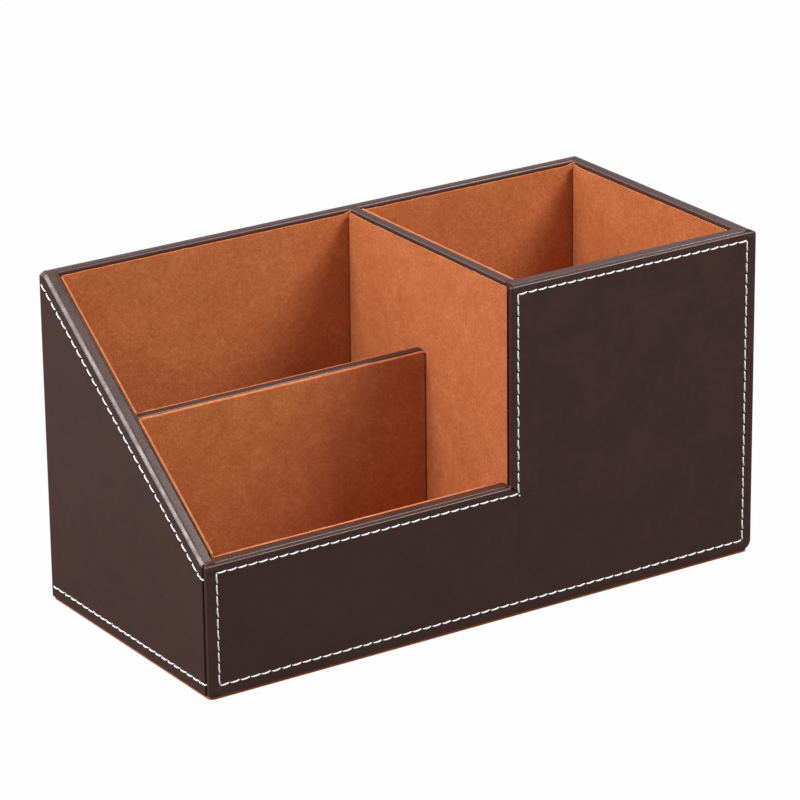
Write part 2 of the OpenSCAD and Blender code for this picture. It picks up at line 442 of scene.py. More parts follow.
class Finishes:
    """Every finish of the organizer, each built once."""

    def __init__(self) -> None:
        """Builds the finishes."""
        recipes = (
            Leather(),
            Suede(),
            Thread(),
            PressedBoard(Slot.BOARD, (0.42, 0.27, 0.14), (0.30, 0.18, 0.09), 1.6),
            PressedBoard(Slot.CARD, (0.42, 0.32, 0.21), (0.34, 0.25, 0.16), 0.8),
        )
        self.by_slot = {recipe.slot: recipe.build() for recipe in recipes}

    def dress_node(self, node: str, slot: Slot) -> None:
        """Gives a CAD node that stays in view its finish.

        Args:
            node: The node's name.
            slot: Its material slot.
        """
        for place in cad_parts[node].material_slots:
            place.material = self.by_slot[slot]
        LOG.info("%s: frame node dressed as %s", node, slot.value)


def at(value: float, target: float, slack: float = TOLERANCE) -> bool:
    """Whether a length is as good as another."""
    return abs(value - target) < slack


def edge_at(edge: BMEdge, axis: Axis, target: float) -> bool:
    """Whether both ends of an edge lie at a place along an axis."""
    return all(at(point.co[axis.value], target) for point in edge.verts)


def edge_along(edge: BMEdge, axis: Axis) -> bool:
    """Whether an edge runs along an axis."""
    run = edge.verts[1].co - edge.verts[0].co
    return abs(run[axis.value]) > 0.999 * run.length


def upright(face: BMFace) -> bool:
    """Whether a face stands upright."""
    return abs(face.normal.z) < ACROSS


def beside_upright(edge: BMEdge) -> bool:
    """Whether an edge bounds an upright face."""
    return any(upright(face) for face in edge.link_faces)


def between(value: float, low: float, high: float) -> bool:
    """Whether a length lies in a range, ends included."""
    return low - TOLERANCE <= value <= high + TOLERANCE


@dataclass(frozen=True)
class Groove:
    """Sizes of the groove that a stitch row presses into the leather."""

    half_width: float = 0.62 * MM
    depth: float = 0.28 * MM
    hole_depth: float = 0.22 * MM
    pitch: float = 3.6 * MM


class Bench:
    """One piece on the bench, shaped in edit mode with Blender's modelling operators."""

    row_slack: float = 0.4 * MM
    line_slack: float = 0.5 * MM
    crease_slack: float = 0.2 * MM

    def __init__(self, name: str, piece: bpy.types.Object) -> None:
        """Takes an object as the start of a piece.

        Args:
            name: The piece's name.
            piece: The object.
        """
        self.piece = piece
        piece.name = name
        piece.data.name = name

    @staticmethod
    def clear() -> None:
        """Deselects everything."""
        bpy.ops.object.select_all(action="DESELECT")

    def take(self) -> None:
        """Makes this piece the only one selected."""
        self.clear()
        self.piece.select_set(True)
        bpy.context.view_layer.objects.active = self.piece

    @classmethod
    def block(cls, name: str, low: Vector, high: Vector) -> "Bench":
        """Starts from a block between two corners.

        Args:
            name: The piece's name.
            low: The lowest corner.
            high: The highest corner.

        Returns:
            The bench with the block on it.
        """
        cls.clear()
        bpy.ops.mesh.primitive_cube_add(size=1.0, location=(low + high) / 2)
        bench = cls(name, bpy.context.object)
        bench.piece.scale = high - low
        bench.settle()
        return bench

    @classmethod
    def from_node(cls, name: str, node: str) -> "Bench":
        """Starts from a copy of a CAD node's mesh, merged and with its flat faces joined up.

        Args:
            name: The piece's name.
            node: The node's name.

        Returns:
            The bench with the copy on it.
        """
        cls.clear()
        piece = bpy.data.objects.new(name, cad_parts[node].data.copy())
        bpy.context.scene.collection.objects.link(piece)
        bench = cls(name, piece)
        bench.take()
        bpy.ops.mesh.customdata_custom_splitnormals_clear()
        with bench.editing():
            bpy.ops.mesh.select_all(action="SELECT")
            bpy.ops.mesh.remove_doubles(threshold=MERGE)
            bpy.ops.mesh.dissolve_limited(angle_limit=math.radians(0.2))
            bpy.ops.mesh.mark_sharp(clear=True)
        return bench

    def settle(self) -> None:
        """Applies the piece's place to its mesh."""
        self.take()
        bpy.ops.object.transform_apply(location=True, rotation=True, scale=True)

    @contextmanager
    def editing(self) -> Iterator[None]:
        """Edit mode for the length of a with block, with nothing selected.

        Yields:
            Nothing.
        """
        self.take()
        bpy.ops.object.mode_set(mode="EDIT")
        bpy.ops.mesh.select_all(action="DESELECT")
        yield
        bpy.ops.object.mode_set(mode="OBJECT")

    def pick(self, kind: Pick, test: Callable[..., bool]) -> int:
        """Selects what passes a test, in edit mode.

        Args:
            kind: Points, edges or faces.
            test: The test of one of them.

        Returns:
            How many were selected.
        """
        bpy.ops.mesh.select_mode(type=kind.value)
        mesh = bmesh.from_edit_mesh(self.piece.data)
        for group in (mesh.verts, mesh.edges, mesh.faces):
            for item in group:
                item.select = False
        groups = {Pick.POINTS: mesh.verts, Pick.EDGES: mesh.edges, Pick.FACES: mesh.faces}
        chosen = [item for item in groups[kind] if test(item)]
        for item in chosen:
            item.select_set(True)
        mesh.select_flush_mode()
        bmesh.update_edit_mesh(self.piece.data)
        return len(chosen)

    def round_edges(
        self, width: float, steps: int, test: Callable[[BMEdge], bool], profile: float = 0.5
    ) -> None:
        """Bevels edges to a radius.

        Args:
            width: The bevel's width.
            steps: The segments of its curve.
            test: Which edges.
            profile: The curve's shape, 0.5 for round and less for flatter.
        """
        with self.editing():
            if self.pick(Pick.EDGES, test):
                bpy.ops.mesh.bevel(
                    offset=width, offset_type="OFFSET", segments=steps, profile=profile, affect="EDGES",
                    clamp_overlap=True, loop_slide=True,
                )
            else:
                LOG.warning("%s: no edge to round", self.piece.name)

    def cut(self, point: Vector, normal: Vector, test: Callable[[BMFace], bool]) -> None:
        """Bisects the faces that pass a test.

        Args:
            point: A point on the cutting plane.
            normal: The plane's normal.
            test: Which faces.
        """
        if self.pick(Pick.FACES, test):
            bpy.ops.mesh.bisect(plane_co=point, plane_no=normal, threshold=MERGE)

    def push(self, offset: Vector, test: Callable[[BMVert], bool]) -> None:
        """Moves the points that pass a test.

        Args:
            offset: How far.
            test: Which points.
        """
        if self.pick(Pick.POINTS, test):
            bpy.ops.transform.translate(value=offset)

    def stitch_groove(self, start: Vector, end: Vector, out: Vector, groove: Groove) -> None:
        """Presses the groove of one stitch row into a flat face, deeper at each hole.

        Args:
            start: Where the row starts, on the face.
            end: Where it ends.
            out: The face's normal.
            groove: The groove's sizes.
        """
        run = (end - start).normalized()
        side = out.cross(run)
        length = (end - start).length
        count = round(length / groove.pitch)
        pitch = length / count

        def on_face(face: BMFace) -> bool:
            """Whether a face belongs to the flat face of the row."""
            height = (face.calc_center_median() - start).dot(out)
            return face.normal.dot(out) > 0.99 and at(height, 0, self.row_slack)

        def in_row(face: BMFace) -> bool:
            """Whether a face lies in the row's groove.

            Args:
                face: The face.

            Returns:
                Whether it does.
            """
            offset = face.calc_center_median() - start
            return on_face(face) and abs(offset.dot(side)) < groove.half_width and between(
                offset.dot(run), -pitch, length + pitch
            )

        for shift in (-groove.half_width, 0.0, groove.half_width):
            self.cut(start + side * shift, side, on_face)
        for step in range(2 * count + 1):
            self.cut(start + run * (pitch * step / 2), run, in_row)

        def on_line(point: BMVert, holes: bool) -> bool:
            """Whether a point is on the row's middle line.

            Args:
                point: The point.
                holes: Whether only the holes count.

            Returns:
                Whether it is.
            """
            offset = point.co - start
            along = offset.dot(run)
            if not at(offset.dot(side), 0) or not between(along, 0, length):
                return False
            if abs(offset.dot(out)) > self.line_slack:
                return False
            return not holes or at(along / pitch, round(along / pitch), 0.01)

        self.push(out * -groove.depth, lambda point: on_line(point, False))
        self.push(out * -groove.hole_depth, lambda point: on_line(point, True))

    def crease(
        self, start: Vector, end: Vector, out: Vector, width: float, depth: float, reach: float = math.inf
    ) -> None:
        """Presses a straight crease into a flat face.

        Args:
            start: Where the crease starts, on the face.
            end: Where it ends.
            out: The face's normal.
            width: Half the crease's width.
            depth: Its depth.
            reach: How near to the start a point of each creased face is.
        """
        run = (end - start).normalized()
        side = out.cross(run)
        length = (end - start).length

        def on_face(face: BMFace) -> bool:
            """Whether a face belongs to the flat face that is creased."""
            near = any((point.co - start).length < reach for point in face.verts)
            height = (face.calc_center_median() - start).dot(out)
            return near and face.normal.dot(out) > 0.8 and at(height, 0, self.crease_slack)

        def on_line(point: BMVert) -> bool:
            """Whether a point lies on the crease's middle line.

            Args:
                point: The point.

            Returns:
                Whether it does.
            """
            offset = point.co - start
            return (
                at(offset.dot(side), 0)
                and at(offset.dot(out), 0, self.crease_slack)
                and between(offset.dot(run), 0, length)
            )

        for shift in (-width, 0.0, width):
            self.cut(start + side * shift, side, on_face)
        self.push(out * -depth, on_line)

    def modify(self, kind: str, settings: dict) -> None:
        """Adds a modifier and applies it.

        Args:
            kind: The modifier's type.
            settings: Its settings.
        """
        self.take()
        modifier = self.piece.modifiers.new(kind.title(), kind)
        for name, value in settings.items():
            setattr(modifier, name, value)
        bpy.ops.object.modifier_apply(modifier=modifier.name)

    def shade(self, sharp_deg: float = 50.0, weighted: bool = True) -> None:
        """Recalculates the normals and shades the piece smooth up to an angle.

        Args:
            sharp_deg: The angle past which an edge stays sharp.
            weighted: Whether large faces keep their flat shading.
        """
        with self.editing():
            bpy.ops.mesh.select_all(action="SELECT")
            bpy.ops.mesh.remove_doubles(threshold=MERGE)
            bpy.ops.mesh.normals_make_consistent(inside=False)
        self.take()
        bpy.ops.object.shade_smooth_by_angle(angle=math.radians(sharp_deg))
        if weighted:
            self.modify("WEIGHTED_NORMAL", {"keep_sharp": True, "weight": 50})

    def finish(self, finishes: Finishes, slot: Slot, node: str) -> None:
        """Gives the piece its finish and its place in the frame.

        Args:
            finishes: The organizer's finishes.
            slot: The piece's material slot.
            node: The CAD node that it stands for.
        """
        self.piece.data.materials.clear()
        self.piece.data.materials.append(finishes.by_slot[slot])
        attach(self.piece, "root")
        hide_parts(node)
        self.piece.data.calc_loop_triangles()
        LOG.info("%s: %d triangles", self.piece.name, len(self.piece.data.loop_triangles))


@dataclass
class Piece:
    """One piece that is modelled from a copy of its CAD node."""

    finishes: Finishes
    node: str
    name: str

    def __post_init__(self) -> None:
        """Reads the node's lowest and highest corners and puts a copy of it on the bench."""
        self.low, self.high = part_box(self.node)
        self.bench = Bench.from_node(self.name, self.node)

    def close(self, slot: Slot = Slot.LEATHER) -> None:
        """Shades the piece and gives it its finish."""
        self.bench.shade()
        self.bench.finish(self.finishes, slot, self.node)


@dataclass
class FrontPanel(Piece):
    """The separate leather panel on the front, with its closed row of stitches."""

    edge_round: float = 0.45 * MM
    back_round: float = 0.12 * MM
    corner_round: float = 0.8 * MM
    foot_round: float = 2.2 * MM
    drop: float = 0.35 * MM
    mitre_length: float = 3.0 * MM
    mitre_width: float = 0.26 * MM
    mitre_depth: float = 0.45 * MM
    mitre_start: float = 0.2 * MM
    mitre_reach: float = 3.5 * MM
    side_inset: float = 3.5 * MM
    top_inset: float = 2.9 * MM
    step_inset: float = 2.5 * MM
    row_bottom: float = 4.4 * MM
    step_x: float = 8.0 * MM
    low_z: float = 43.0 * MM

    def build(self) -> None:
        """Models the panel and dresses the card inside it."""
        bench, low, high = self.bench, self.low, self.high
        sill, top = self.low_z - self.drop, high.z - self.drop
        with bench.editing():
            bench.push(
                Vector((0, 0, -self.drop)), lambda point: at(point.co.z, high.z) or at(point.co.z, self.low_z)
            )
        corners = ((low.x, low.z), (low.x, sill), (self.step_x, sill), (self.step_x, top))
        for width, steps, places in (
            (self.corner_round, 3, corners), (self.foot_round, 5, ((high.x, low.z), (high.x, top))),
        ):
            bench.round_edges(
                width, steps,
                lambda edge: edge_along(edge, Axis.Y)
                and any(edge_at(edge, Axis.X, x) and edge_at(edge, Axis.Z, z) for x, z in places),
            )
        bench.round_edges(self.edge_round, 4, lambda edge: self._on_outline(edge, low.y), RIDGE_PROFILE)
        bench.round_edges(self.back_round, 2, lambda edge: self._on_outline(edge, high.y))
        out = Vector((0, -1, 0))
        down = Vector((1, 0, -1)).normalized()
        corner = Vector((self.step_x, low.y, sill)) - down * self.mitre_start
        with bench.editing():
            for start, end in self.rows():
                bench.stitch_groove(start, end, out, Groove())
            end = corner + down * self.mitre_length
            bench.crease(corner, end, out, self.mitre_width, self.mitre_depth, self.mitre_reach)
        self.close()
        self.finishes.dress_node("panel_card", Slot.CARD)

    def _on_outline(self, edge: BMEdge, y: float) -> bool:
        """Whether an edge is on the panel's outer outline at a depth.

        Args:
            edge: The edge.
            y: The depth.

        Returns:
            Whether it is.
        """
        if not edge_at(edge, Axis.Y, y) or len(edge.link_faces) != 2:
            return False
        faces = sorted(edge.link_faces, key=lambda face: abs(face.normal.y))
        reach = min(point.co.y for point in faces[0].verts)
        square = abs(faces[0].normal.y) < ACROSS and abs(faces[1].normal.y) > FACING
        return square and reach < self.low.y + self.edge_round + TOLERANCE

    def rows(self) -> list[tuple[Vector, Vector]]:
        """The stitch rows on the front face, in order round the panel.

        Returns:
            Start and end of each row.
        """
        low, high = self.low, self.high
        left, right = low.x + self.side_inset, high.x - self.side_inset
        step, top = self.step_x + self.step_inset, high.z - self.top_inset
        sill = self.low_z - self.top_inset
        places = [
            (left, self.row_bottom), (right, self.row_bottom), (right, top),
            (step, top), (step, sill), (left, sill),
        ]
        points = [Vector((x, low.y, z)) for x, z in places]
        return list(zip(points, points[1:] + points[:1]))


@dataclass
class SideBand(Piece):
    """One piece of leather round the left side, the back and the right side."""

    outer_round: float = 1.35 * MM
    inner_round: float = 0.9 * MM
    outer_profile: float = 0.3
    slope_inner_round: float = 0.08 * MM
    short_edge: float = 0.9 * MM
    rim_width: float = 4.9 * MM
    rim_slack: float = 0.05 * MM
    skin_reach: float = 0.7 * MM
    lip: float = 0.5 * MM
    lip_depth: float = 1.5 * MM
    seam_round: float = 0.25 * MM
    left_gap: float = 1.15 * MM
    right_gap: float = 0.35 * MM
    skin: float = 0.9 * MM
    fold_taper: float = 1.0 * MM
    fold_front: float = -42.3 * MM
    inner_x: float = 95.7 * MM
    crease_width: float = 0.22 * MM
    crease_depth: float = 0.2 * MM
    gap_width: float = 0.3 * MM
    gap_depth: float = 0.75 * MM
    gap_inset: float = 0.04 * MM
    back_start: float = 4.4 * MM
    fold_end: tuple[float, float] = (-0.1 * MM, -0.05 * MM)
    fold_press: tuple[float, float] = (0.2 * MM, 0.35 * MM)
    ridge_shift: Vector = field(default_factory=lambda: Vector((0.32, 0.32, 0)) * MM)
    ridge_press: tuple[float, float] = (0.2 * MM, -0.12 * MM)
    far_press: tuple[float, float] = (0.18 * MM, 0.25 * MM)
    hem_round: float = 0.4 * MM
    row_drop: float = 4.2 * MM
    row_bottom: float = 4.4 * MM
    corner_radius: float = 2.0 * MM
    row_front: float = -45.2 * MM
    rim_back_y: float = 43.2 * MM
    foot_y: float = -44.3 * MM
    low_z: float = 43.0 * MM

    def __post_init__(self) -> None:
        """Works out how steep the sloping rim is and its upward normal."""
        super().__post_init__()
        rise, run = self.high.z - self.low_z, self.rim_back_y - self.foot_y
        self.climb = rise / run
        self.slope_out = Vector((0, -rise, run)).normalized()

    def build(self) -> None:
        """Models the band with its rounded rims, its seams at the front and its grooves."""
        bench, low = self.bench, self.low
        with bench.editing():
            for x, rise in ((self.inner_x, 0.0), (-self.inner_x, self.climb)):
                bench.push(
                    Vector((0, self.fold_taper, self.fold_taper * rise)),
                    lambda point: at(point.co.x, x) and at(point.co.y, self.fold_front),
                )
            self._turn_lip()
        bench.round_edges(
            self.inner_round, 4, lambda edge: self._on_rim(edge, False) and not self._on_slope(edge)
        )
        bench.round_edges(
            self.slope_inner_round, 3,
            lambda edge: self._on_rim(edge, False)
            and self._on_slope(edge)
            and edge.calc_length() > self.short_edge,
        )
        bench.round_edges(self.outer_round, 5, lambda edge: self._on_rim(edge, True), self.outer_profile)
        self._open_seams()
        bench.round_edges(
            self.hem_round, 3,
            lambda edge: edge_at(edge, Axis.Z, low.z) and self._near_skin(edge) and beside_upright(edge),
        )
        with bench.editing():
            for start, end, out in self.rows():
                bench.stitch_groove(start, end, out, Groove())
            for start, end, out, width, depth in self.creases():
                bench.crease(start, end, out, width, depth)
        self.close()

    def _turn_lip(self) -> None:
        """Lets the sloping rim's inner edge stand over the edge of the lining."""
        head, out = Vector((0, self.rim_back_y, self.high.z)), self.slope_out
        for depth in (self.lip_depth, self.lip_depth + CUT_GAP):
            self.bench.cut(
                head - out * depth, out,
                lambda face: at(face.calc_center_median().x, -self.inner_x, CUT_SLACK),
            )
        self.bench.push(
            Vector((self.lip, 0, 0)),
            lambda point: at(point.co.x, -self.inner_x)
            and (point.co - head).dot(out) > -self.lip_depth - CUT_SLACK,
        )

    def _open_seams(self) -> None:
        """Sets the outer skin back behind the panel, so that a dark seam shows there."""
        bench, front = self.bench, self.low.y
        edge_x = self.high.x - self.skin
        for side, gap in ((-1, self.left_gap), (1, self.right_gap)):
            with bench.editing():
                for x in (edge_x + CUT_GAP, edge_x + 2 * CUT_GAP):
                    bench.cut(
                        Vector((side * x, 0, 0)), Vector((1, 0, 0)),
                        lambda face: face.normal.y < -FACING
                        and at(face.calc_center_median().y, front, 0.1 * MM),
                    )
                bench.push(
                    Vector((0, gap, 0)),
                    lambda point: at(point.co.y, front)
                    and side * point.co.x > edge_x + CUT_GAP + CUT_SLACK,
                )
            bench.round_edges(
                self.seam_round, 2,
                lambda edge: edge_at(edge, Axis.Y, front + gap) and edge_at(edge, Axis.X, side * self.high.x),
            )

    def _on_slope(self, edge: BMEdge) -> bool:
        """Whether an edge belongs to the left rim."""
        return all(point.co.x < self.low.x + self.rim_width for point in edge.verts)

    def creases(self) -> list[tuple[Vector, Vector, Vector, float, float]]:
        """The creases of the rims: beside the beads, before the left lining and over the folded corners.

        Returns:
            Start, end, face normal, half width and depth of each.
        """
        low, high = self.low, self.high
        foot, head = (self.foot_y, self.low_z), (self.rim_back_y, high.z)
        fine = (self.crease_width, self.crease_depth)
        bead = low.x + self.outer_round + self.crease_width
        gap = self.lip - self.inner_x - self.slope_inner_round - self.gap_width - self.gap_inset
        in_back = self.rim_back_y + self.inner_round + self.crease_width
        in_right = self.inner_x + self.inner_round + self.crease_width
        inside = Vector((in_right, in_back, high.z))
        corner = Vector((low.x + self.outer_round, high.y - self.outer_round, high.z))
        inner = Vector((self.fold_end[0] - self.inner_x, self.rim_back_y + self.fold_end[1], high.z))
        far_corner = Vector((high.x - self.outer_round, corner.y, high.z))
        return [
            (Vector((bead, *foot)), Vector((bead, *head)), self.slope_out, *fine),
            (Vector((gap, *foot)), Vector((gap, *head)), self.slope_out, self.gap_width, self.gap_depth),
            (Vector((low.x + self.back_start, in_back, high.z)), inside, UP, *fine),
            (Vector((in_right, low.y, high.z)), inside, UP, *fine),
            (corner, inner, UP, *self.fold_press),
            (corner + self.ridge_shift, inner + self.ridge_shift, UP, *self.ridge_press),
            (far_corner, inside, UP, *self.far_press),
        ]

    def _near_skin(self, edge: BMEdge) -> bool:
        """Whether an edge's middle lies at the outer face of a side or of the back."""
        middle = (edge.verts[0].co + edge.verts[1].co) / 2
        depths = (middle.x - self.low.x, self.high.x - middle.x, self.high.y - middle.y)
        return min(depths) < self.skin_reach

    def _rim_height(self, point: Vector) -> float:
        """The height of the band's top edge at a point.

        Args:
            point: The point.

        Returns:
            The height.
        """
        if point.x > self.low.x + self.rim_width:
            return self.high.z
        share = (point.y - self.foot_y) / (self.rim_back_y - self.foot_y)
        return self.low_z + (self.high.z - self.low_z) * min(max(share, 0.0), 1.0)

    def _on_rim(self, edge: BMEdge, outer: bool) -> bool:
        """Whether an edge is on the rim's outer or inner line, the front's ends apart.

        Args:
            edge: The edge.
            outer: Whether the outer line is asked for.

        Returns:
            Whether it is.
        """
        if any(not at(point.co.z, self._rim_height(point.co), self.rim_slack) for point in edge.verts):
            return False
        at_front = at((edge.verts[0].co.y + edge.verts[1].co.y) / 2, self.low.y)
        one_upright = sum(upright(face) for face in edge.link_faces) == 1
        return one_upright and not at_front and self._near_skin(edge) == outer

    def rows(self) -> list[tuple[Vector, Vector, Vector]]:
        """The stitch rows of the two sides and the back.

        Returns:
            Start, end and face normal of each row.
        """
        low, high = self.low, self.high
        level, base, front = high.z - self.row_drop, self.row_bottom, self.row_front
        left, right = low.x + self.corner_radius, high.x - self.corner_radius
        back = high.y - self.corner_radius
        drop = self.row_drop * math.hypot(1.0, self.climb)

        def below(y: float) -> float:
            """Height of the row under the slope."""
            return self.low_z + (y - self.foot_y) * self.climb - drop

        runs = [
            ((low.x, back, below(back)), (low.x, front, below(front)), (-1, 0, 0)),
            ((low.x, back, base), (low.x, front, base), (-1, 0, 0)),
            *(((right, high.y, z), (left, high.y, z), (0, 1, 0)) for z in (level, base)),
            *(((high.x, front, z), (high.x, back, z), (1, 0, 0)) for z in (level, base)),
        ]
        return [tuple(Vector(part) for part in run) for run in runs]


@dataclass
class FrontRim(Piece):
    """Leather over the front wall's top edges and down the step, behind the panel."""

    ridge_round: float = 0.55 * MM
    inner_round: float = 0.6 * MM

    def build(self) -> None:
        """Models the rim with a ridge along its front and a soft inner edge."""
        bench, low, high = self.bench, self.low, self.high
        bench.round_edges(self.inner_round, 3, lambda edge: self._on_top(edge, high.y))
        bench.round_edges(self.ridge_round, 3, lambda edge: self._on_top(edge, low.y), RIDGE_PROFILE)
        self.close()

    @staticmethod
    def _on_top(edge: BMEdge, y: float) -> bool:
        """Whether an edge runs along the top or the step at a depth.

        Args:
            edge: The edge.
            y: The depth.

        Returns:
            Whether it does.
        """
        if not edge_at(edge, Axis.Y, y) or len(edge.link_faces) != 2:
            return False
        faces = sorted(edge.link_faces, key=lambda face: abs(face.normal.y))
        return faces[0].normal.z > FACING or faces[0].normal.x < -FACING


@dataclass
class DividerCap(Piece):
    """The leather cap of a divider."""

    bead: float = 0.65 * MM
    edge: float = 0.35 * MM
    bead_normal: Axis = Axis.X
    reach: float = 0.0
    crease_width: float = 0.2 * MM
    crease_depth: float = 0.18 * MM

    def build(self) -> None:
        """Models the cap with a bead on its near side, a crease beside it and soft other edges."""
        bench, low, high = self.bench, self.low, self.high
        axis = self.bead_normal
        near = low[axis.value]
        with bench.editing():
            bench.push(Vector((self.reach, 0, 0)), lambda point: at(point.co.x, high.x))
        bench.round_edges(self.bead, 4, lambda edge: self._on_top(edge) and edge_at(edge, axis, near))
        bench.round_edges(self.edge, 3, lambda edge: self._on_top(edge) and not self._near_bead(edge, near))
        start, end = low.copy(), high.copy()
        start[axis.value] = end[axis.value] = near + self.bead + self.crease_width
        start.z = high.z
        with bench.editing():
            bench.crease(start, end, UP, self.crease_width, self.crease_depth)
        self.close()

    def _near_bead(self, edge: BMEdge, near: float) -> bool:
        """Whether an edge belongs to the bead."""
        return all(point.co[self.bead_normal.value] < near + self.bead + TOLERANCE for point in edge.verts)

    def _on_top(self, edge: BMEdge) -> bool:
        """Whether an edge bounds the top face."""
        return edge_at(edge, Axis.Z, self.high.z) and beside_upright(edge)


@dataclass(frozen=True)
class Ear:
    """A place where a lining's top edge stands up a little, as at a folded corner."""

    place: float
    height: float
    reach: float

    def rise(self, place: float) -> float:
        """How far the top edge stands up at a place along it."""
        share = max(0.0, 1.0 - abs(place - self.place) / self.reach)
        return self.height * share * share * (3 - 2 * share)


@dataclass(frozen=True)
class SlopeEnd:
    """Where the top of a lining below the sloping rim ends.

    Attributes:
        y: Where the lining itself ends.
        z: The height above which its end is moved.
        shift: How far it is moved along the slope.
    """

    y: float
    z: float
    shift: float


@dataclass(frozen=True)
class LiningShape:
    """What sets one lining apart from the others."""

    ears: tuple[Ear, ...] = ()
    lift: float = 0.0
    trim: float = 0.0
    tongue_trim: float = 0.0
    tongue_slant: float = 0.0
    lean: Optional[Axis] = None
    sloped: bool = False
    ends: tuple[SlopeEnd, ...] = ()


@dataclass
class SuedeLining(Piece):
    """One suede-faced card with a soft, slightly uneven top edge."""

    seed: int
    shape: LiningShape
    round: float = 0.27 * MM
    side_round: float = 0.3 * MM
    collar: float = 2.2 * MM
    step: float = 1.6 * MM
    uneven: float = 0.035 * MM
    slot: float = 0.6 * MM
    slot_depth: float = 1.8 * MM
    lean_drop: float = 0.5 * MM
    slope_rise: float = 64.0 * MM
    slope_run: float = 87.5 * MM
    flat_height: float = 5.0 * MM
    wave_pace: tuple[float, float] = (0.12, 0.9)
    fibre_share: float = 0.08
    fibre_rise: tuple[float, float] = (0.05, 0.14)

    def __post_init__(self) -> None:
        """Works out which way is up from the lining's top edge."""
        super().__post_init__()
        self.up = Vector((0, -self.slope_rise, self.slope_run)).normalized() if self.shape.sloped else UP

    def build(self) -> None:
        """Models the lining."""
        bench, low, high = self.bench, self.low, self.high
        with bench.editing():
            self._fit()
        bench.round_edges(self.round, 3, lambda edge: self._on_top(edge, low.z))
        bench.round_edges(
            self.side_round, 2,
            lambda edge: edge_along(edge, Axis.Z)
            and len(edge.link_faces) == 2
            and edge.calc_face_angle_signed() > 0.5,
        )
        if high.z - low.z > self.flat_height:
            with bench.editing():
                self._soften()
        self.close(Slot.SUEDE)

    def _fit(self) -> None:
        """Trims the lining's ends and makes room beside it for the leather's lip."""
        shape, bench, low, high, up = self.shape, self.bench, self.low, self.high, self.up
        bench.push(Vector((0, -shape.trim, 0)), lambda point: at(point.co.y, high.y))
        bench.push(
            Vector((0, shape.tongue_slant, 0)), lambda point: at(point.co.y, low.y) and at(point.co.x, high.x)
        )
        bench.push(Vector((0, shape.tongue_trim, 0)), lambda point: at(point.co.y, low.y))
        if shape.lean is not None:
            far = shape.lean.value
            bench.push(
                Vector((0, 0, -self.lean_drop)),
                lambda point: at(point.co[far], high[far]) and at(point.co.z, high.z),
            )
        for end in shape.ends:
            self._shift_end(end)
        if shape.sloped:
            for depth in (self.slot_depth, self.slot_depth + CUT_GAP):
                bench.cut(high - up * depth, up, lambda face: True)
            bench.push(
                Vector((self.slot, 0, 0)),
                lambda point: at(point.co.x, low.x)
                and (point.co - high).dot(up) > -self.slot_depth - CUT_SLACK,
            )

    def _shift_end(self, end: SlopeEnd) -> None:
        """Moves the upper part of a lining's end along the slope.

        Args:
            end: The end, and how far it goes.
        """
        for height in (end.z, end.z - CUT_GAP):
            self.bench.cut(UP * height, UP, lambda face: True)
        self.bench.push(
            Vector((0, end.shift, 0)),
            lambda point: at(point.co.y, end.y) and point.co.z > end.z - CUT_SLACK,
        )
        self.bench.push(
            UP * (end.shift * self.slope_rise / self.slope_run),
            lambda point: at(point.co.y, end.y + end.shift) and point.co.z > end.z + 2 * CUT_GAP,
        )

    def _soften(self) -> None:
        """Makes the top edge uneven, with its ears and a few raised fibres."""
        bench, low, crest, up = self.bench, self.low, self.high, self.up
        bench.cut(crest - up * self.collar, up, lambda face: True)

        def above(where: Vector, depth: float) -> bool:
            """Whether a place lies less than a depth below the top edge."""
            return (where - crest).dot(up) > -depth

        span = crest - low
        axis = 0 if span.x > span.y else 1
        run = Vector((1 - axis, axis, 0))
        count = max(4, round(span[axis] / self.step))
        places = [low[axis] + span[axis] * i / count for i in range(1, count)]
        for place in places:
            bench.cut(run * place, run, lambda face: above(face.calc_center_median(), self.collar))
        chance = random.Random(self.seed)
        waves = [(chance.uniform(*self.wave_pace) / MM, chance.uniform(0, math.tau)) for _ in range(4)]
        for place in [low[axis], *places, crest[axis]]:
            rise = sum(math.sin(place * pace + phase) for pace, phase in waves) * self.uneven / 2
            rise += self.shape.lift + sum(ear.rise(place) for ear in self.shape.ears)
            if chance.random() < self.fibre_share:
                rise += chance.uniform(*self.fibre_rise) * MM
            bench.push(
                up * rise,
                lambda point: abs(point.co[axis] - place) < self.step * 0.3
                and above(point.co, self.round + 0.1 * MM),
            )

    @staticmethod
    def _on_top(edge: BMEdge, floor_z: float) -> bool:
        """Whether an edge lies between an upward face and an upright one.

        Args:
            edge: The edge.
            floor_z: The lining's lowest height.

        Returns:
            Whether it does.
        """
        if any(point.co.z < floor_z + 0.5 * MM for point in edge.verts) or len(edge.link_faces) != 2:
            return False
        faces = sorted(edge.link_faces, key=lambda face: face.normal.z)
        return faces[1].normal.z > 0.5 and upright(faces[0])


@dataclass
class BasePad:
    """The suede pad under the box, set back a little, with rounded corners."""

    finishes: Finishes
    inset: float = 0.3 * MM
    corner_round: float = 1.8 * MM
    round: float = 0.12 * MM

    def build(self) -> None:
        """Models the pad."""
        low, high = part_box("base_pad")
        inset = Vector((self.inset, self.inset, 0))
        bench = Bench.block("base_pad_suede", low + inset, high - inset)
        bench.round_edges(self.corner_round, 5, lambda edge: edge_along(edge, Axis.Z))
        bench.round_edges(
            self.round, 2, lambda edge: edge_at(edge, Axis.Z, low.z) and beside_upright(edge)
        )
        bench.shade()
        bench.finish(self.finishes, Slot.SUEDE, "base_pad")


# Rings along a stitch: share of its half length, bow and rise in millimetres, and thickness.
STITCH_RINGS = (
    (-1.0, 0.16, -0.32, 0.6), (-0.82, 0.09, -0.05, 0.9), (-0.45, -0.02, 0.0, 1.0), (0.0, -0.07, 0.02, 1.0),
    (0.45, -0.02, 0.0, 1.0), (0.82, 0.07, -0.05, 0.9), (1.0, 0.12, -0.32, 0.6),
)


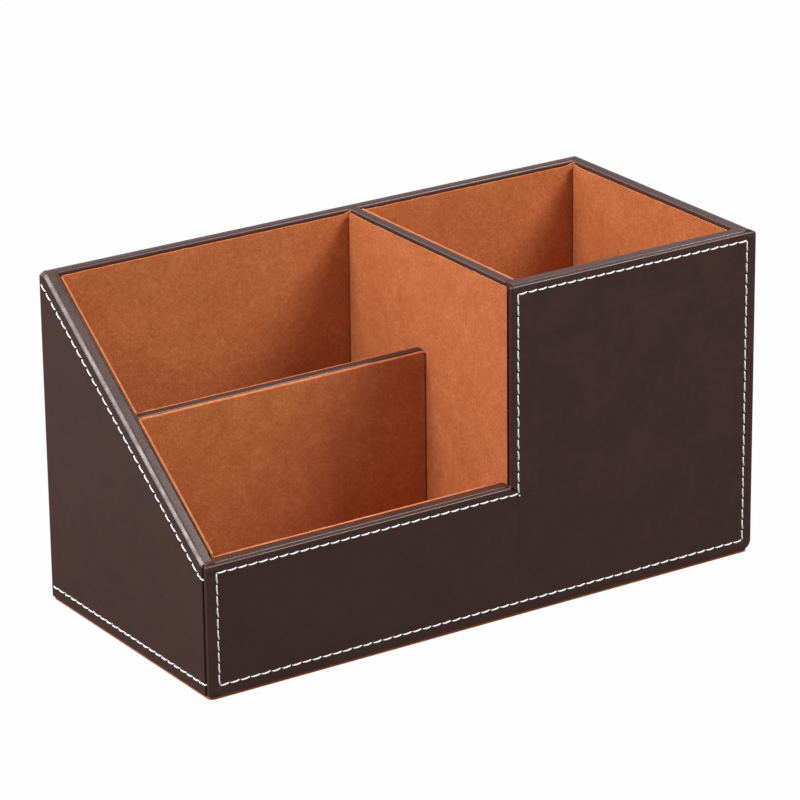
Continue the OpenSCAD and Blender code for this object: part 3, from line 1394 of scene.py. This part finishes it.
@dataclass
class Sewing:
    """The stitch rows: one stitch of thread, copied to each place."""

    finishes: Finishes
    length: float = 3.3 * MM
    radius: float = 0.25 * MM
    slant_deg: float = 4.5
    base_stretch: float = 1.08
    seed: int = 11
    seam_x: float = -100.0 * MM
    seam_reach: float = -42.2 * MM
    slant_spread: float = 0.9
    side_spread: float = 0.02 * MM
    length_spread: float = 0.03
    sink: float = 0.06 * MM
    bend_share: float = 0.04
    tail_share: float = 0.4
    tail_stretch: float = 0.84
    tail_levels: tuple[float, float] = (-0.06, 0.12)
    knot_share: float = 0.16
    knot: Vector = field(default_factory=lambda: Vector((10.85, -47.5, 39.55)) * MM)

    def build(self) -> None:
        """Models one stitch and sews every row with copies of it."""
        pattern = self._stitch()
        for node in ("panel_stitching", "rim_stitching", "base_stitching"):
            self._sew(node, pattern)
        bpy.data.objects.remove(pattern)

    def _stitch(self) -> bpy.types.Object:
        """Models one stitch along X, bowed sideways, with its ends sunk into the leather.

        Returns:
            The stitch.
        """
        Bench.clear()
        bpy.ops.mesh.primitive_cylinder_add(
            vertices=8, radius=self.radius, depth=self.length, rotation=(0, math.pi / 2, 0)
        )
        bench = Bench("stitch_pattern", bpy.context.object)
        bench.settle()
        half = self.length / 2
        with bench.editing():
            for share, *_ in STITCH_RINGS[1:-1]:
                bench.cut(Vector((share * half, 0, 0)), Vector((1, 0, 0)), lambda face: True)
            for share, bow, rise, size in STITCH_RINGS:
                x = share * half
                bench.pick(Pick.POINTS, lambda point: at(point.co.x, x))
                bpy.ops.transform.resize(value=(1.0, size, size), center_override=(x, 0, 0))
                bpy.ops.transform.translate(value=(0, bow * MM, rise * MM))
        bench.shade(60.0, False)
        return bench.piece

    @staticmethod
    def places(node: str) -> list[tuple[Vector, Vector, Vector]]:
        """Middle, direction and outward normal of each stitch of a CAD node.

        Args:
            node: The node's name.

        Returns:
            One entry for each stitch.
        """
        low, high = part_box("side_band")
        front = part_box("panel_leather")[0].y
        mesh = bmesh.new()
        mesh.from_mesh(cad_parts[node].data)
        bmesh.ops.remove_doubles(mesh, verts=mesh.verts, dist=MERGE)
        found, seen = [], set()
        for first in mesh.verts:
            if first in seen:
                continue
            seen.add(first)
            group, queue = [], [first]
            while queue:
                point = queue.pop()
                group.append(point.co.copy())
                for edge in point.link_edges:
                    far = edge.other_vert(point)
                    if far not in seen:
                        seen.add(far)
                        queue.append(far)
            found.append(Sewing._read(group, low, high, front))
        mesh.free()
        return found

    @staticmethod
    def _read(group: list[Vector], low: Vector, high: Vector, front: float) -> tuple[Vector, Vector, Vector]:
        """Middle on the leather, direction and normal of one CAD stitch.

        Args:
            group: The stitch's points.
            low: The band's lowest corner.
            high: Its highest corner.
            front: The place of the panel's face.

        Returns:
            Middle, direction and normal.
        """
        near = group[0]
        far = max(group, key=lambda point: (point - near).length)
        one = [point for point in group if (point - far).length < (point - near).length]
        two = [point for point in group if (point - far).length >= (point - near).length]
        ends = [sum(part, Vector()) / len(part) for part in (one, two)]
        middle, run = (ends[0] + ends[1]) / 2, (ends[0] - ends[1]).normalized()
        faces = {
            (-1, 0, 0): low.x - middle.x, (1, 0, 0): middle.x - high.x,
            (0, 1, 0): middle.y - high.y, (0, -1, 0): front - middle.y,
        }
        out = Vector(max(faces, key=faces.get))
        middle = middle - out * faces[tuple(int(c) for c in out)]
        along = UP.cross(out)
        if run.dot(along) < 0 or (abs(run.dot(along)) < ACROSS and run.z > 0):
            run.negate()
        return middle, run, out

    def _bent(self, place: tuple[Vector, Vector, Vector]) -> list[tuple[Vector, Vector, Vector, float]]:
        """The parts of a stitch, two where the last one of a row bends over the seam.

        Args:
            place: The stitch's middle, direction and normal.

        Returns:
            Middle, direction, normal and share of the length of each part.
        """
        middle, run, out = place
        if not (at(middle.x, self.seam_x, 0.5 * MM) and middle.y < self.seam_reach and out.x < -FACING):
            return [(middle, run, out, 1.0)]
        forward = run if run.y < 0 else -run
        level = Vector((0, -1, self.tail_levels[0] if abs(run.z) > 0.3 else self.tail_levels[1]))
        start = middle - forward * self.length / 2
        bend = middle - forward * self.length * self.bend_share
        tail = bend + level.normalized() * self.length * self.tail_share
        toward_end = level if run.y < 0 else -level
        return [((start + bend) / 2, run, out, 0.5), (tail, toward_end, out, self.tail_stretch)]

    def _sew(self, node: str, pattern: bpy.types.Object) -> None:
        """Puts a copy of the stitch at each place of a node and joins them.

        Args:
            node: The CAD node.
            pattern: The modelled stitch.
        """
        chance = random.Random(self.seed + len(node))
        copies = []
        places = [part for place in self.places(node) for part in self._bent(place)]
        if node == "panel_stitching":
            places.append((self.knot, Vector((1, 0, -0.3)), Vector((0, -1, 0)), self.knot_share))
        for middle, run, out, part in places:
            turn = Matrix.Rotation(math.radians(self.slant_deg + chance.gauss(0, self.slant_spread)), 3, out)
            along = (turn @ run).normalized()
            side = out.cross(along)
            spot = middle + side * chance.gauss(0, self.side_spread) - out * self.sink
            stretch = part * (self.base_stretch if node == "base_stitching" else 1.0)
            stretch *= 1.0 + chance.uniform(-self.length_spread, self.length_spread)
            copy = bpy.data.objects.new("stitch", pattern.data.copy())
            basis = Matrix((along * stretch, side, out)).transposed().to_4x4()
            copy.data.transform(Matrix.Translation(spot) @ basis)
            bpy.context.scene.collection.objects.link(copy)
            copies.append(copy)
        Bench.clear()
        for copy in copies:
            copy.select_set(True)
        bpy.context.view_layer.objects.active = copies[0]
        bpy.ops.object.join()
        Bench(node + "_thread", copies[0]).finish(self.finishes, Slot.THREAD, node)


def toward(azimuth: float, elevation: float) -> Vector:
    """The direction out to an azimuth from the front and an elevation, both in radians."""
    flat = math.cos(elevation)
    return Vector((math.sin(azimuth) * flat, -math.cos(azimuth) * flat, math.sin(elevation)))


@dataclass
class Lamp:
    """One large soft lamp that looks at the organizer, its angles in degrees and its sizes in metres."""

    name: str
    azimuth: float
    elevation: float
    distance: float
    size: float
    share: float
    colour: Colour = (1.0, 1.0, 1.0)

    def build(self, target: Vector) -> None:
        """Hangs the lamp.

        Args:
            target: What it looks at.
        """
        back = toward(math.radians(self.azimuth), math.radians(self.elevation))
        data = bpy.data.lights.new(self.name, "AREA")
        data.shape = "SQUARE"
        data.size = self.size
        data.energy = self.share * (math.pi * self.distance) ** 2
        data.color = self.colour
        lamp = bpy.data.objects.new(self.name, data)
        lamp.location = target + back * self.distance
        lamp.rotation_euler = (-back).to_track_quat("-Z", "Y").to_euler()
        bpy.context.scene.collection.objects.link(lamp)


@dataclass(frozen=True)
class Camera:
    """The camera at the photograph's angle; angles in radians, lens and target in millimetres."""

    azimuth: float = -0.58226
    elevation: float = 0.36136
    roll: float = -0.01174
    lens: float = 198.73
    distance: float = 1361.492
    target: tuple[float, float, float] = (-0.77776, 0.0, 58.38436)
    sensor: float = 36.0
    clip_m: tuple[float, float] = (0.05, 30.0)

    def build(self) -> None:
        """Places the camera."""
        back = toward(self.azimuth, self.elevation)
        across = UP.cross(back).normalized()
        up = back.cross(across)
        right = across * math.cos(self.roll) + up * math.sin(self.roll)
        top = up * math.cos(self.roll) - across * math.sin(self.roll)
        data = bpy.data.cameras.new("camera")
        data.sensor_width = self.sensor
        data.lens = self.lens
        data.clip_start, data.clip_end = self.clip_m
        camera = bpy.data.objects.new("camera", data)
        spot = Vector(self.target) * MM + back * (self.distance * MM)
        camera.matrix_world = Matrix.Translation(spot) @ Matrix((right, top, back)).transposed().to_4x4()
        bpy.context.scene.collection.objects.link(camera)
        bpy.context.scene.camera = camera


@dataclass
class Studio:
    """Floor, lamps, white surroundings and the camera."""

    around: float = 0.5
    floor_size: float = 12.0
    floor_drop: float = 0.2 * MM
    aim: float = 50.0 * MM

    def build(self) -> None:
        """Sets up the studio."""
        bpy.context.scene.view_settings.view_transform = "Standard"
        self._floor()
        self._surroundings()
        for lamp in (
            Lamp("key_lamp", 52.0, 48.0, distance=1.3, size=0.6, share=1.15),
            Lamp("left_lamp", -92.0, 42.0, distance=1.2, size=0.40, share=1.04, colour=(0.98, 0.97, 1.0)),
            Lamp("back_lamp", -154.0, 32.0, distance=1.6, size=0.8, share=0.3),
        ):
            lamp.build(UP * self.aim)
        Camera().build()

    def _floor(self) -> None:
        """Lays the floor under the organizer."""
        Bench.clear()
        bpy.ops.mesh.primitive_plane_add(size=self.floor_size, location=UP * -self.floor_drop)
        bench = Bench("studio_floor", bpy.context.object)
        bench.settle()
        bench.piece.data.materials.append(StudioFloor().build())

    def _surroundings(self) -> None:
        """Makes the surroundings white to the camera and soft grey-white to the object."""
        paint = Paint("studio_world", world=True)
        lit, seen = (
            paint.node("ShaderNodeBackground", {}, {"Color": WHITE, "Strength": strength})
            for strength in (self.around, 1.0)
        )
        camera_ray = paint.node("ShaderNodeLightPath", {}, {}, "Is Camera Ray")
        both = paint.node("ShaderNodeMixShader", {}, {0: camera_ray, 1: lit, 2: seen})
        bpy.context.scene.world = paint.end(both)


LININGS = {
    "back_lining_left": LiningShape((Ear(9.4 * MM, 0.9 * MM, 3.6 * MM),), lift=0.3 * MM, lean=Axis.Y),
    "back_lining_right": LiningShape(
        (Ear(95.7 * MM, 0.7 * MM, 5.0 * MM), Ear(13.6 * MM, 0.2 * MM, 4.0 * MM)),
        lift=0.3 * MM, lean=Axis.Y,
    ),
    "left_lining_rear": LiningShape(
        sloped=True,
        ends=(SlopeEnd(2.7 * MM, 73.35 * MM, -2.95 * MM), SlopeEnd(43.2 * MM, 104.2 * MM, -1.3 * MM)),
    ),
    "left_lining_front": LiningShape(sloped=True, ends=(SlopeEnd(-0.1 * MM, 72.2 * MM, -2.2 * MM),)),
    "front_lining_left": LiningShape(),
    "front_lining_right": LiningShape(),
    "right_lining": LiningShape(
        (Ear(41.8 * MM, 0.6 * MM, 5.0 * MM),), lift=0.3 * MM, trim=0.5 * MM, lean=Axis.X
    ),
    "divider_lining_left": LiningShape(
        (Ear(42.0 * MM, 0.4 * MM, 10.0 * MM),),
        lift=0.6 * MM, trim=0.45 * MM, tongue_trim=0.45 * MM, tongue_slant=1.6 * MM, lean=Axis.X,
    ),
    "divider_lining_right": LiningShape(trim=0.4 * MM),
    "cross_lining_front": LiningShape(lean=Axis.Y),
    "cross_lining_rear": LiningShape(),
    "floor_lining_rear": LiningShape(),
    "floor_lining_front": LiningShape(),
    "floor_lining_right": LiningShape(),
}
HIDDEN_BOARDS = (
    "bottom_board", "back_board", "left_side_board", "right_side_board", "front_board",
    "main_divider_board", "cross_divider_board",
)


def main() -> None:
    """Builds the organizer in order."""
    logging.basicConfig(level=logging.INFO, format="%(name)s: %(message)s")
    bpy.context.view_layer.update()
    finishes = Finishes()
    for node in HIDDEN_BOARDS:
        finishes.dress_node(node, Slot.BOARD)
    FrontPanel(finishes, "panel_leather", "front_panel").build()
    SideBand(finishes, "side_band", "side_band_leather").build()
    FrontRim(finishes, "front_rim_wrap", "front_rim_leather").build()
    DividerCap(finishes, "main_divider_wrap", "main_divider_cap").build()
    DividerCap(
        finishes, "cross_divider_wrap", "cross_divider_cap",
        bead=0.55 * MM, bead_normal=Axis.Y, reach=0.6 * MM,
    ).build()
    for seed, (node, shape) in enumerate(LININGS.items()):
        SuedeLining(finishes, node, node + "_suede", seed, shape).build()
    BasePad(finishes).build()
    Sewing(finishes).build()
    Studio().build()


if __name__ == "__main__":
    main()
